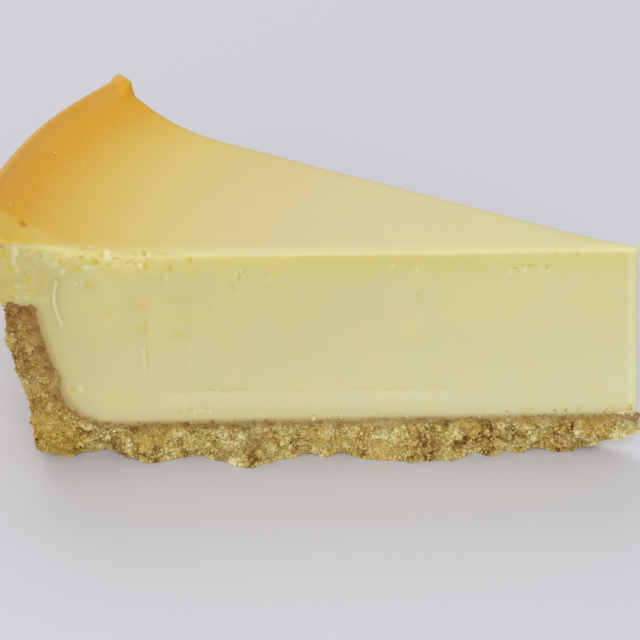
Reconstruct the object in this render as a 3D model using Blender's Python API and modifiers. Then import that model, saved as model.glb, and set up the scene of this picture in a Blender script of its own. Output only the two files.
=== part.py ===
"""A slice of key lime pie: a set custard filling in a pressed crumb crust.

The slice is one tenth of a round pie. The pie's axis stands upright at the slice's tip, which points
along +X, and the baked rim lies towards -X. Units are metres and +Z is up. The flat underside of the
crust rests on Z = 0, and the slice is centred on the origin.
"""

import math
import random

import bmesh
import bpy
from mathutils import Matrix, Vector, noise

# The whole pie and the slice that is cut from it.
PIE_RADIUS = 0.1208  # from the axis to the crest of the rim
SLICE_ANGLE = math.radians(36)
STEP_ANGLE = math.radians(2)  # between the facets of the round surfaces
CUT_MISS = 0.0040  # the two knife cuts meet this far short of the axis, at the level of the top
CUT_LEAN = 0.0011  # how far each cut face stands further out at its foot than at its top

# The crumb crust: a flat base and a leaning side wall, pressed into a dish.
BASE_THICKNESS = 0.0088
WALL_THICKNESS = 0.0060
CRUST_HEIGHT = 0.0339
FOOT_RADIUS = PIE_RADIUS - 0.0066  # of the wall's outer face near the bottom
WALL_LEAN = 0.0038  # how far the wall leans out on its way up
FOOT_ROUND = 0.0052
CORNER_FILLET = 0.0092  # inside, where the base turns up into the wall

# The filling: level in the middle and climbing ever more steeply to a rounded rim.
FILLING_HEIGHT = 0.0427
DISH_START = 0.748  # share of the radius where the top begins to climb
DISH_RISE = 0.0082
DISH_POWER = 2.7
RIM_OVERHANG = 0.0020  # how far the rim bulges out past its crest
LEDGE_RADIUS = PIE_RADIUS - 0.0026  # where the filling leaves the top of the wall
EDGE_ROUND = 0.0010

# The tip: blunted where the knife cuts meet, and broken away underneath.
TIP_BLUNT = 0.0012
TIP_LEAN = 0.0038  # how much further the foot of the tip reaches than its top
TIP_CHIP = 0.0009
BREAK_LENGTH = 0.0115
BREAK_HEIGHT = 0.0046

# The crumbs that show on the cut faces and, pressed flatter, on the wall.
LUMP_SIZE = 0.0062
LUMP_HEIGHT = 0.0013
CRUMB_SIZE = 0.0027
CRUMB_HEIGHT = 0.0011
PRESSED_SHARE = 0.40  # of that relief on the wall, which the dish pressed
SHED_HEIGHT = 0.0036  # the lower edge of the cut faces has shed its crumbs
SHED_DEPTH = 0.0013
SHED_AT_WALL = 0.0019  # more of them under the wall
SHED_REACH = 0.0080  # how far in under the slice its underside gives way
VOXEL = 0.00085
CRUST_TRIANGLES = 8600

# The torn edge: where the knife dragged the browned top apart on the -Y side, and at the +Y corner.
TORN_FROM = 0.72  # share of the radius
TORN_CHIPS = 20
CHIP_SIZE = 0.0024

GAP = 0.0003  # between the crust and the filling
OVERCUT = 0.006  # how far a cutter runs past what it cuts


def material(name, colour, roughness):
    """A Principled BSDF with one colour."""
    made = bpy.data.materials.new(name)
    made.use_nodes = True
    shader = made.node_tree.nodes["Principled BSDF"]
    shader.inputs["Base Color"].default_value = (*colour, 1)
    shader.inputs["Roughness"].default_value = roughness
    shader.inputs["Metallic"].default_value = 0
    return made


def collection(name):
    made = bpy.data.collections.new(name)
    bpy.context.scene.collection.children.link(made)
    return made


def add_object(name, bm, into):
    """Puts a finished bmesh into the scene."""
    bmesh.ops.recalc_face_normals(bm, faces=bm.faces)
    mesh = bpy.data.meshes.new(name)
    bm.to_mesh(mesh)
    bm.free()
    made = bpy.data.objects.new(name, mesh)
    into.objects.link(made)
    return made


def make_cutter(obj):
    obj.hide_render = True
    obj.display_type = "WIRE"
    return obj


def spun(outline, half_angle):
    """The (radius, height) outline swept round the pie's axis, half_angle to each side of -X."""
    bm = bmesh.new()
    steps = round(2 * half_angle / STEP_ANGLE)
    start = math.pi - half_angle
    turn = Vector((math.cos(start), math.sin(start), 0))
    corners = [bm.verts.new(turn * r + Vector((0, 0, z))) for r, z in outline]
    face = bm.faces.new(corners)
    bmesh.ops.spin(
        bm, geom=[face, *face.edges, *corners], cent=(0, 0, 0), axis=(0, 0, 1), angle=2 * half_angle, steps=steps
    )
    bmesh.ops.remove_doubles(bm, verts=bm.verts, dist=1e-6)
    bmesh.ops.recalc_face_normals(bm, faces=bm.faces)
    return bm


def keep_below(bm, point, normal):
    """Cuts a closed mesh by a plane, drops the side that the normal points to and closes the cut."""
    cut = bmesh.ops.bisect_plane(
        bm, geom=[*bm.verts, *bm.edges, *bm.faces], plane_co=point, plane_no=normal, clear_outer=True
    )
    rim = [item for item in cut["geom_cut"] if isinstance(item, bmesh.types.BMEdge)]
    bmesh.ops.contextual_create(bm, geom=rim)


def arc(centre, radius, first, last, count):
    """Points along part of a circle in the outline's plane, with its angles in degrees."""
    angles = [math.radians(first + (last - first) * i / count) for i in range(count + 1)]
    return [(centre[0] + radius * math.cos(a), centre[1] + radius * math.sin(a)) for a in angles]


def wall_radius(z):
    """The crust's outer face: nearly upright at the foot and the top, leaning in between."""
    share = min(max((z - 0.25 * CRUST_HEIGHT) / (0.60 * CRUST_HEIGHT), 0), 1)
    return FOOT_RADIUS + WALL_LEAN * share * share * (3 - 2 * share)


def top_height(r):
    """The filling's top: level in the middle, then climbing to the rim's crest."""
    dish = max(0, (r / PIE_RADIUS - DISH_START) / (1 - DISH_START))
    return FILLING_HEIGHT + DISH_RISE * dish**DISH_POWER


def inner_corner(grow):
    """The filling's lower edge, from its floor up to the top of the wall, made larger by grow."""
    floor = BASE_THICKNESS - grow
    foot = FOOT_RADIUS - WALL_THICKNESS + grow
    top = FOOT_RADIUS + WALL_LEAN - WALL_THICKNESS + grow
    fillet = arc((foot - CORNER_FILLET, floor + CORNER_FILLET), CORNER_FILLET, -90, 0, 8)
    return [*fillet, (foot + 0.30 * (top - foot), 0.64 * CRUST_HEIGHT), (top, CRUST_HEIGHT + grow)]


def filling_outline():
    """Floor, corner, the ledge over the wall, the bulging rim and the top, back to the axis."""
    ledge = CRUST_HEIGHT + GAP
    crest = top_height(PIE_RADIUS)
    middle = ledge + 0.62 * (crest - ledge)
    lower = [
        (LEDGE_RADIUS + (PIE_RADIUS + RIM_OVERHANG - LEDGE_RADIUS) * math.sin(a) ** 0.8, ledge + (middle - ledge) * s)
        for s, a in ((s, math.pi / 2 * s) for s in (0.10, 0.30, 0.52, 0.76, 1))
    ]
    upper = [
        (PIE_RADIUS - 0.0010 + (RIM_OVERHANG + 0.0010) * math.cos(a), middle + (crest - middle) * math.sin(a))
        for a in (math.radians(x) for x in (20, 38, 54, 68, 80))
    ]
    top_radii = [PIE_RADIUS * s for s in (0.981, 0.968, 0.954, 0.94, 0.922, 0.902, 0.88, 0.85, 0.81, 0.76)]
    return [
        (0, BASE_THICKNESS),
        *inner_corner(0),
        (LEDGE_RADIUS, ledge),
        *lower,
        *upper,
        *[(r, top_height(r)) for r in top_radii],
        (0, FILLING_HEIGHT),
    ]


def crust_outline():
    """The base and the wall, a little thicker inside than they end up, as the cavity is cut last."""
    spare = 0.0015
    foot = FOOT_RADIUS - FOOT_ROUND
    inside = inner_corner(-spare)
    heights = [CRUST_HEIGHT * s for s in (0.15, 0.28, 0.42, 0.56, 0.70, 0.84, 0.95)]
    return [
        (0, 0),
        *arc((foot, FOOT_ROUND), FOOT_ROUND, -90, 0, 4),
        *[(wall_radius(z), z) for z in heights],
        (wall_radius(CRUST_HEIGHT) - 0.0008, CRUST_HEIGHT),
        (inside[-1][0], CRUST_HEIGHT),
        *reversed(inside[:-1]),
        (0, BASE_THICKNESS + spare),
    ]


def cut_face_plane(side):
    """A point and the outward normal of the cut face at -Y (side -1) or +Y (side 1)."""
    lean = math.atan2(CUT_LEAN, FILLING_HEIGHT)
    half = SLICE_ANGLE / 2
    normal = (math.sin(half) * math.cos(lean), side * math.cos(half) * math.cos(lean), math.sin(lean))
    return (-CUT_MISS, 0, FILLING_HEIGHT), normal


def sliced(outline):
    """The slice that two leaning knife cuts leave of the swept outline, with its tip blunted."""
    bm = spun(outline, 1.5 * SLICE_ANGLE)
    for side in (-1, 1):
        keep_below(bm, *cut_face_plane(side))
    lean = math.atan2(TIP_LEAN, FILLING_HEIGHT)
    blunt = Vector((-CUT_MISS - TIP_BLUNT, 0, FILLING_HEIGHT))
    keep_below(bm, blunt, (math.cos(lean), 0, math.sin(lean)))
    chip = blunt + Vector((-TIP_CHIP, -(TIP_BLUNT + TIP_CHIP) * math.tan(SLICE_ANGLE / 2), 0))
    keep_below(bm, chip, (math.cos(lean) * 0.75, -0.66, math.sin(lean) * 0.75))
    return bm


def crumb_height(point):
    """Rounded crumbs in clumps, as a height above the pressed surface."""
    distances, _ = noise.voronoi(point / CRUMB_SIZE)
    crumb = 0.75 - 1.6 * distances[0]
    return LUMP_HEIGHT * noise.noise(point / LUMP_SIZE) + CRUMB_HEIGHT * crumb


def shed(point, side):
    """How far the lower edge of a cut face has crumbled back at this point, as an inward vector."""
    origin, normal = (Vector(v) for v in cut_face_plane(side))
    depth = (origin - point).dot(normal)
    edge = max(0, 1 - max(depth, 0) / SHED_REACH) ** 2 * max(0, 1 - point.z / SHED_HEIGHT)
    near_wall = min(max((point.xy.length / PIE_RADIUS - 0.60) / 0.25, 0), 1)
    loose = 0.7 + noise.noise(point / LUMP_SIZE + Vector((9, 4, 2)))
    return Vector((-normal.x, -normal.y, 0)) * edge * (SHED_DEPTH * loose + SHED_AT_WALL * near_wall)


def crumble(bm):
    """Raises crumbs on the crust: strongly on the cut faces, less on the wall, not on the underside."""
    cut_faces = [Vector(cut_face_plane(side)[1]) for side in (-1, 1)]
    moves = {}
    for vert in bm.verts:
        cut = max(0, max(vert.normal.dot(face) for face in cut_faces)) ** 4
        height = crumb_height(vert.co) * (PRESSED_SHARE + (1 - PRESSED_SHARE) * cut)
        out = Vector((vert.normal.x, vert.normal.y, max(0, vert.normal.z)))
        crumbs = out * height * min(1, vert.co.z / 0.0015)
        moves[vert] = crumbs + shed(vert.co, -1) + shed(vert.co, 1)
    for vert, move in moves.items():
        vert.co += move


def evaluated_bmesh(obj):
    """The object's shape with its modifiers, as a new bmesh; the object itself is removed."""
    graph = bpy.context.evaluated_depsgraph_get()
    mesh = bpy.data.meshes.new_from_object(obj.evaluated_get(graph))
    bpy.data.objects.remove(obj)
    bm = bmesh.new()
    bm.from_mesh(mesh)
    bpy.data.meshes.remove(mesh)
    return bm


def thinned(obj, triangles):
    """Collapses the flattest edges until about that many triangles are left."""
    obj.modifiers.new("Triangulate", "TRIANGULATE")
    decimate = obj.modifiers.new("Decimate", "DECIMATE")
    decimate.ratio = triangles / (2 * len(obj.data.polygons))
    return evaluated_bmesh(obj)


def make_cavity(into):
    """Cutter: the filling's underside, grown by the gap and run past the slice on every side."""
    inside = inner_corner(GAP)
    top = CRUST_HEIGHT + OVERCUT
    outline = [
        (0, BASE_THICKNESS - GAP),
        *inside[:-1],
        (inside[-1][0], CRUST_HEIGHT),
        (PIE_RADIUS + OVERCUT, CRUST_HEIGHT),
        (PIE_RADIUS + OVERCUT, top),
        (0, top),
    ]
    return make_cutter(add_object("cavity_cutter", spun(outline, 2.2 * SLICE_ANGLE), into))


def torn_spots():
    """Side, distance from the axis and size of each chip along the edge of the browned top."""
    pick = random.Random(7)
    spots = []
    for number in range(TORN_CHIPS):
        share = TORN_FROM + (0.985 - TORN_FROM) * (number + pick.uniform(0.1, 0.9)) / TORN_CHIPS
        spots.append((-1, share * PIE_RADIUS, CHIP_SIZE * pick.uniform(0.5, 1) * share**3))
    for share in (0.90, 0.925, 0.945):
        spots.append((1, share * PIE_RADIUS, CHIP_SIZE * pick.uniform(0.4, 0.7)))
    return spots


def make_chips(into):
    """Cutter: shallow uneven bites out of the edges where the top meets the cut faces."""
    bm = bmesh.new()
    for side, r, size in torn_spots():
        point, normal = (Vector(v) for v in cut_face_plane(side))
        along = Vector((-math.cos(SLICE_ANGLE / 2), side * math.sin(SLICE_ANGLE / 2), 0))
        edge = point + along * (r - CUT_MISS)
        edge.z = top_height(r)
        place = Matrix.Translation(edge + normal * size * 0.45) @ Matrix.Diagonal((1.7, 1, 0.8, 1))
        bmesh.ops.create_icosphere(bm, subdivisions=2, radius=size, matrix=place)
    for vert in bm.verts:
        vert.co += noise.noise_vector(vert.co / 0.0022) * 0.0007
    return make_cutter(add_object("chip_cutter", bm, into))


def make_filling(into, chips):
    bm = sliced(filling_outline())
    top_edges = [
        edge
        for edge in bm.edges
        if min(v.co.z for v in edge.verts) > CRUST_HEIGHT + 0.001 and edge.calc_face_angle(0) > math.radians(50)
    ]
    bmesh.ops.bevel(
        bm, geom=top_edges, offset=EDGE_ROUND, segments=2, profile=0.5, affect="EDGES", clamp_overlap=True
    )
    bmesh.ops.remove_doubles(bm, verts=bm.verts, dist=1e-5)
    filling = add_object("filling", bm, into)
    tear = filling.modifiers.new("Torn edge", "BOOLEAN")
    tear.operation = "DIFFERENCE"
    tear.use_self = True
    tear.object = chips
    return filling


def make_crust(into, cavity):
    bm = sliced(crust_outline())
    slope = math.atan2(BREAK_HEIGHT, BREAK_LENGTH)
    keep_below(bm, (-CUT_MISS + TIP_LEAN - BREAK_LENGTH, 0, 0), (math.sin(slope), 0, -math.cos(slope)))
    block = add_object("crust_block", bm, into)
    remesh = block.modifiers.new("Remesh", "REMESH")
    remesh.mode = "VOXEL"
    remesh.voxel_size = VOXEL
    bm = evaluated_bmesh(block)
    bm.normal_update()
    crumble(bm)
    bm = thinned(add_object("crust_crumbs", bm, into), CRUST_TRIANGLES)
    keep_below(bm, (0, 0, VOXEL / 4), (0, 0, -1))
    bmesh.ops.translate(bm, verts=bm.verts, vec=(0, 0, -VOXEL / 4))
    crust = add_object("crust", bm, into)
    cut = crust.modifiers.new("Cavity", "BOOLEAN")
    cut.operation = "DIFFERENCE"
    cut.object = cavity
    return crust


def centre(objects):
    """Moves the objects together, so that the slice's bounding box is centred over the origin."""
    bpy.context.view_layer.update()
    corners = [Vector(c) for obj in objects if not obj.hide_render for c in obj.bound_box]
    middle = [(min(c[i] for c in corners) + max(c[i] for c in corners)) / 2 for i in (0, 1)]
    for obj in objects:
        obj.location = (-middle[0], -middle[1], 0)


def main():
    for obj in list(bpy.data.objects):
        bpy.data.objects.remove(obj)
    pie = collection("key_lime_pie_slice")
    cutters = collection("cutters")
    cavity = make_cavity(cutters)
    chips = make_chips(cutters)
    filling = make_filling(pie, chips)
    crust = make_crust(pie, cavity)
    filling.data.materials.append(material("lime_custard", (0.66, 0.58, 0.29), 0.45))
    crust.data.materials.append(material("biscuit_crumb", (0.42, 0.27, 0.10), 0.85))
    for obj in (filling, crust):
        obj.data.shade_smooth()
        obj.data.set_sharp_from_angle(angle=math.radians(35))
    centre([filling, crust, cavity, chips])


main()
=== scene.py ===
import math
import random

import bpy
import numpy as np
from mathutils import Matrix, Vector, noise
from mathutils.bvhtree import BVHTree


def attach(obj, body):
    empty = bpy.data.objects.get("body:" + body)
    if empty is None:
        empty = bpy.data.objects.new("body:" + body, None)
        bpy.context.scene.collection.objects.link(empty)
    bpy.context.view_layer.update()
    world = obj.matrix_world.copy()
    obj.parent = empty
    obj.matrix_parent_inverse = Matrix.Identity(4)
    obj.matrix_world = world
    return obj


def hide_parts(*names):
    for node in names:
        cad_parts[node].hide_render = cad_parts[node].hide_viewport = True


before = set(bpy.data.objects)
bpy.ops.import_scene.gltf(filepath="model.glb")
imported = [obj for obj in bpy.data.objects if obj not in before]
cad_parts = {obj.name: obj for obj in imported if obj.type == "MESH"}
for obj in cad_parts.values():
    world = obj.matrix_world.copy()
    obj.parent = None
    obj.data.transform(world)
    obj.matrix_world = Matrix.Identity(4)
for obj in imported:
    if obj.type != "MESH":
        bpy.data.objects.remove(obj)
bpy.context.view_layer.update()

# A slice of key lime pie: set lime custard with a browned top, in a pressed biscuit crumb crust.
# Metres, +Z up, the tip towards +X. These sizes are the CAD model's own, apart from the break under the
# tip, which is a little larger here because loose crumbs fill it.
MM = 0.001
AXIS = Vector((0.06245, 0, 0))  # the whole pie's axis
PIE_RADIUS = 0.1208
HALF_ANGLE = math.radians(35.5) / 2
CUT_MISS = 0.0040
CUT_LEAN = 0.0011
BASE_THICKNESS = 0.0088
WALL_THICKNESS = 0.0060
CRUST_HEIGHT = 0.0334
FOOT_RADIUS = PIE_RADIUS - 0.0066
WALL_LEAN = 0.0038
FOOT_ROUND = 0.0052
CORNER_FILLET = 0.0092
FILLING_HEIGHT = 0.0427
DISH_START = 0.748
DISH_RISE = 0.0082
DISH_POWER = 2.7
RIM_OVERHANG = 0.0020
LEDGE_RADIUS = PIE_RADIUS - 0.0026
TIP_BLUNT = 0.0012
TIP_LEAN = 0.0038
TIP_CHIP = 0.0009
BREAK_LENGTH = 0.0130
BREAK_HEIGHT = 0.0056

ROUND_SEGMENTS = 240  # round the whole pie, before it is cut
CUSTARD_VOXEL = 0.00042
CRUMB_VOXEL = 0.00042
CUSTARD_TRIANGLES = 112000  # before its torn edge and its marks are refined
CRUST_TRIANGLES = 180000
SEAM_OVERLAP = 0.0009  # how far the custard has soaked into the crust
SKIN_DRAGGED_TO = 0.0445  # the height on the -Y face that the browned skin is dragged down to
PEAK_HEIGHT = 0.0515
SKIN_PRESSED_DOWN = 0.0026
CREST_ROUND = 0.0010  # how far inside the pie's radius the rim's crest starts to round over
CUSTARD_TIP_DRAWN_OUT = 0.00045
CRUST_TIP_DRAWN_OUT = 0.0011
SMOOTHED_EDGE = 0.0032  # how far the softening of the custard's top edge reaches
SMALLEST_CRUMB = 0.00019  # radius
CRUMB_SPREAD = 0.00022  # how much larger the largest common crumbs are
BIG_CRUMB_SHARE = 0.05
BIG_CRUMB_SCALE = 1.8
SMALLEST_CURD = 0.00020
CURD_SPREAD = 0.00036
FACE_LENGTH = 0.118
LOOK_FROM = 0.006  # how far in front of a cut face the search for its surface starts
LOOK_FROM_NEAR = 0.004

# Where a knife, a plate or a finger has left its mark on the -Y cut face. Along is the distance from the
# corner where the two cuts meet, up is the height above the board, both in millimetres.
PITS = [  # along, up, radius, depth: small hollows where curd has come away
    (72.4, 37.8, 0.6, 0.12),
    (34.4, 38.4, 0.3, 0.06),
    (22.8, 38.8, 0.4, 0.07),
    (20.3, 39.2, 0.5, 0.09),
    (17.3, 38.8, 0.3, 0.07),
]
SCRAPE = [(104.7, 36.8), (105.2, 35.0), (105.1, 32.8), (104.6, 30.5), (104.0, 28.8)]  # along, up
DRAG_LINES = [  # along, lower end, upper end, width and whiteness of fine upright scratches
    (89.6, 20.0, 23.8, 0.24, 0.60),
    (89.0, 21.5, 23.8, 0.20, -0.45),
    (88.3, 18.7, 23.4, 0.20, 0.22),
    (89.1, 27.4, 29.7, 0.24, -0.60),
    (81.3, 19.6, 24.7, 0.22, 0.30),
]
CLIMBERS = [  # along, up, spread, count of crumbs that the knife dragged up onto the custard
    (1.2, 9.2, 1.7, 36),
    (-0.6, 9.9, 0.9, 10),
    (59.5, 9.2, 0.5, 6),
    (54.3, 9.1, 0.8, 7),
    (42.8, 9.2, 0.8, 6),
    (19.7, 9.3, 1.6, 8),
    (12.0, 9.2, 1.5, 6),
]
# Curds: along, up, half width, half height, and a tone from 1, pale cream, to -1, the yellow of the skin.
BLOBS = [
    (113.3, 42.6, 0.45, 1.6, -1.0),
    (112.7, 40.0, 0.45, 1.3, -1.0),
    (112.4, 46.3, 0.90, 1.3, -0.8),
    (109.6, 45.6, 1.40, 0.7, -0.8),
    (107.3, 43.1, 0.60, 0.5, -0.6),
    (103.6, 41.2, 0.50, 0.6, -0.7),
    (100.0, 42.0, 0.60, 0.5, -0.8),
    (97.7, 41.0, 0.80, 0.9, -1.0),
    (96.6, 42.3, 0.60, 0.5, -0.8),
    (100.8, 39.8, 0.70, 0.5, -1.0),
    (101.9, 39.4, 0.60, 0.4, -0.6),
    (95.4, 40.4, 0.60, 0.6, -0.6),
    (94.2, 41.5, 0.70, 0.5, -0.5),
    (91.4, 41.0, 0.60, 0.4, -0.6),
    (89.1, 42.4, 0.50, 0.6, -0.8),
    (88.8, 40.2, 0.50, 0.8, -0.9),
    (84.5, 39.5, 0.50, 0.9, -0.8),
    (81.0, 41.4, 0.40, 0.6, -0.9),
    (109.4, 37.6, 0.50, 1.3, -0.9),
    (112.3, 35.4, 0.40, 1.5, -1.0),
    (109.3, 35.2, 0.35, 0.7, -0.9),
    (111.0, 40.4, 0.40, 0.6, -0.8),
    (99.2, 36.4, 0.55, 0.6, -0.9),
    (102.7, 15.9, 0.65, 0.60, -1.0),
    (111.5, 43.2, 0.60, 1.1, 1.0),
    (111.8, 41.6, 0.50, 1.0, 0.8),
    (95.5, 42.4, 0.70, 1.3, 1.0),
    (99.0, 40.0, 0.90, 0.5, 0.9),
    (103.4, 39.3, 0.60, 0.6, 0.8),
    (104.5, 41.0, 0.50, 1.0, 0.6),
    (106.4, 42.2, 0.40, 1.2, 0.4),
    (89.8, 40.1, 0.40, 0.6, 0.9),
    (88.4, 42.2, 0.40, 0.4, 0.8),
    (100.3, 37.0, 0.70, 0.35, 0.8),
    (101.4, 37.1, 0.50, 0.3, 0.6),
    (80.1, 42.7, 0.70, 0.6, 0.8),
    (85.2, 37.9, 0.25, 0.9, 0.6),
    (111.4, 39.7, 0.40, 0.5, 0.7),
    (109.9, 34.4, 0.40, 0.4, 0.7),
    (101.2, 15.9, 0.45, 0.45, 1.0),
    (72.9, 38.7, 0.20, 0.70, 0.6),
    (72.0, 39.1, 0.35, 0.28, 0.6),
    (71.3, 39.0, 0.35, 0.30, -0.7),
    (72.5, 37.5, 0.50, 0.35, -0.60),
    (71.5, 37.8, 0.32, 0.35, 0.6),
    (72.9, 36.7, 0.28, 0.32, 1.0),
    (73.5, 36.2, 0.28, 0.50, -0.55),
    (71.6, 36.7, 0.30, 0.30, 0.3),
    (72.8, 34.2, 0.18, 0.70, 0.5),
    (67.1, 37.5, 0.22, 0.35, 0.9),
    (67.2, 35.9, 0.35, 0.30, -0.3),
    (45.1, 39.5, 0.40, 0.40, 0.9),
    (40.8, 38.4, 0.35, 0.80, 0.6),
    (34.4, 38.4, 0.35, 0.60, -0.8),
    (29.9, 41.6, 0.25, 0.25, -0.6),
    (24.0, 38.2, 0.30, 0.30, 0.8),
    (22.9, 38.9, 0.60, 0.30, -0.45),
    (21.2, 38.5, 0.40, 0.50, 0.9),
    (20.3, 39.3, 0.60, 0.50, -0.55),
    (18.3, 38.3, 0.40, 0.30, 0.8),
    (17.3, 38.9, 0.40, 0.35, -0.45),
    (16.9, 38.1, 0.40, 0.25, 0.6),
    (15.6, 41.4, 0.35, 0.40, -0.4),
    (11.9, 41.3, 0.50, 0.45, -0.6),
    (6.5, 39.5, 0.30, 0.40, 0.5),
    (40.3, 33.8, 0.30, 0.45, -0.5),
    (84.5, 11.6, 0.50, 0.32, 0.8),
    (83.2, 10.8, 0.60, 0.30, -0.7),
    (82.4, 11.9, 0.28, 0.45, 0.7),
    (81.5, 11.2, 0.60, 0.35, -0.7),
    (80.6, 10.6, 0.32, 0.50, 1.0),
    (79.3, 10.9, 0.60, 0.32, 0.8),
    (78.3, 11.5, 0.40, 0.35, -0.6),
    (77.7, 10.6, 0.45, 0.45, 0.9),
]
CRACKS = [  # first along, last along, height, depth of a fine level crack
    (86.0, 79.0, 14.9, 0.10),
    (78.4, 69.5, 15.1, 0.20),
    (62.8, 60.2, 15.0, 0.22),
    (52.0, 47.0, 14.8, 0.12),
    (46.0, 33.5, 14.7, 0.18),
]
SMEARS = [  # along, up, half width, half height of faint yellow patches
    (90.5, 32.6, 2.6, 1.1),
    (91.0, 27.8, 2.2, 0.9),
    (82.4, 33.6, 2.8, 1.0),
    (82.0, 29.4, 3.0, 0.8),
    (83.0, 26.6, 2.2, 0.7),
    (96.0, 31.0, 1.6, 0.8),
]
LUMPS = [  # along, half width, how far a lump of the crust's lower edge sticks out
    (71.0, 6.0, 2.7),
    (36.0, 12.0, 1.9),
    (88.8, 4.2, 2.0),
    (98.2, 4.2, -1.7),
    (60.5, 3.4, -1.3),
    (53.0, 2.4, -0.8),
    (80.0, 2.6, -0.7),
    (27.5, 2.0, -1.2),
    (22.0, 1.6, -1.0),
    (16.0, 2.2, -0.9),
]


# ---------------------------------------------------------------- modelling

def deselect_everything():
    if bpy.context.object and bpy.context.object.mode != "OBJECT":
        bpy.ops.object.mode_set(mode="OBJECT")
    bpy.ops.object.select_all(action="DESELECT")


def make_active(obj):
    deselect_everything()
    obj.select_set(True)
    bpy.context.view_layer.objects.active = obj


def apply_modifier(obj, kind, **settings):
    make_active(obj)
    bpy.ops.object.modifier_add(type=kind)
    modifier = obj.modifiers[-1]
    for name, value in settings.items():
        setattr(modifier, name, value)
    bpy.ops.object.modifier_apply(modifier=modifier.name)


def arc(centre, radius, first, last, count):
    """Points along part of a circle in the outline's plane, with its angles in degrees."""
    angles = [math.radians(first + (last - first) * i / count) for i in range(count + 1)]
    return [(centre[0] + radius * math.cos(a), centre[1] + radius * math.sin(a)) for a in angles]


def top_height(r):
    """The custard's top: level in the middle, then climbing to the rim's crest."""
    dish = np.maximum(0, (r / PIE_RADIUS - DISH_START) / (1 - DISH_START))
    return FILLING_HEIGHT + DISH_RISE * dish**DISH_POWER


def wall_radius(z):
    """The crust's outer face: nearly upright at the foot and the top, leaning in between."""
    share = min(max((z - 0.25 * CRUST_HEIGHT) / (0.60 * CRUST_HEIGHT), 0), 1)
    return FOOT_RADIUS + WALL_LEAN * share * share * (3 - 2 * share)


def inner_corner(grow=0):
    """Where the custard meets the crust, from the base up to the top of the wall, or a little beyond it."""
    foot = FOOT_RADIUS - WALL_THICKNESS + grow
    top = foot + WALL_LEAN
    fillet = arc((foot - CORNER_FILLET, BASE_THICKNESS - grow + CORNER_FILLET), CORNER_FILLET, -90, 0, 12)
    return [*fillet, (foot + 0.30 * WALL_LEAN, 0.64 * CRUST_HEIGHT), (top, CRUST_HEIGHT - grow)]


def custard_rings():
    """The custard's outline, from the middle of its floor round to the middle of its top."""
    crest = float(top_height(PIE_RADIUS))
    middle = CRUST_HEIGHT + 0.62 * (crest - CRUST_HEIGHT)
    reach = PIE_RADIUS + RIM_OVERHANG - LEDGE_RADIUS
    shares = (0.10, 0.20, 0.30, 0.42, 0.52, 0.64, 0.76, 0.88, 1)
    lower = [
        (
            LEDGE_RADIUS + reach * math.sin(math.pi / 2 * s) ** 0.8,
            CRUST_HEIGHT + (middle - CRUST_HEIGHT) * s,
        )
        for s in shares
    ]
    upper = [
        (
            PIE_RADIUS - CREST_ROUND + (RIM_OVERHANG + CREST_ROUND) * math.cos(a),
            middle + (crest - middle) * math.sin(a),
        )
        for a in (math.radians(x) for x in (12, 22, 32, 42, 52, 62, 72, 82))
    ]
    top = [PIE_RADIUS * s for s in np.linspace(0.985, 0.74, 22)]
    return [
        (0.001, BASE_THICKNESS - SEAM_OVERLAP),
        *inner_corner(SEAM_OVERLAP),
        (LEDGE_RADIUS, CRUST_HEIGHT - SEAM_OVERLAP),
        *lower,
        *upper,
        *[(r, float(top_height(r))) for r in top],
        (0.001, FILLING_HEIGHT),
    ]


def crust_rings():
    """The crust's outline, from the middle of its underside round to the middle of its floor."""
    foot = FOOT_RADIUS - FOOT_ROUND
    heights = [CRUST_HEIGHT * s for s in np.linspace(0.17, 0.95, 14)]
    top = wall_radius(CRUST_HEIGHT)
    return [
        (0.001, 0),
        *arc((foot, FOOT_ROUND), FOOT_ROUND, -90, 0, 8),
        *[(wall_radius(z), z) for z in heights],
        (top - 0.0008, CRUST_HEIGHT),
        *reversed(inner_corner()),
        (0.001, BASE_THICKNESS),
    ]


def turned_pie(name, rings):
    """A round body raised from a disc: each ring is extruded from the last, then widened or narrowed."""
    deselect_everything()
    (r, z), *rest = rings
    bpy.ops.mesh.primitive_circle_add(
        vertices=ROUND_SEGMENTS, radius=r, fill_type="NGON", location=(AXIS.x, 0, z), enter_editmode=True
    )
    for next_r, next_z in rest:
        bpy.ops.mesh.extrude_region_move(TRANSFORM_OT_translate={"value": (0, 0, next_z - z)})
        grow = next_r / r
        bpy.ops.transform.resize(value=(grow, grow, 1), center_override=(AXIS.x, 0, next_z))
        r, z = next_r, next_z
    bpy.ops.mesh.select_all(action="SELECT")
    bpy.ops.mesh.normals_make_consistent(inside=False)
    bpy.ops.object.mode_set(mode="OBJECT")
    pie = bpy.context.object
    pie.name = name
    bpy.ops.object.transform_apply(location=True, rotation=True, scale=True)
    return pie


def knife_cut(obj, point, normal):
    """Cuts a closed body with a plane and drops the side that the normal points to."""
    make_active(obj)
    bpy.ops.object.mode_set(mode="EDIT")
    bpy.ops.mesh.select_all(action="SELECT")
    bpy.ops.mesh.bisect(plane_co=point, plane_no=normal, use_fill=True, clear_outer=True, threshold=1e-7)
    bpy.ops.object.mode_set(mode="OBJECT")


def cut_face_plane(side):
    """A point and the outward normal of the cut face at -Y (side -1) or +Y (side 1)."""
    lean = math.atan2(CUT_LEAN, FILLING_HEIGHT)
    level = math.cos(lean)
    normal = Vector((math.sin(HALF_ANGLE) * level, side * math.cos(HALF_ANGLE) * level, math.sin(lean)))
    return AXIS + Vector((-CUT_MISS, 0, FILLING_HEIGHT)), normal


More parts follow.
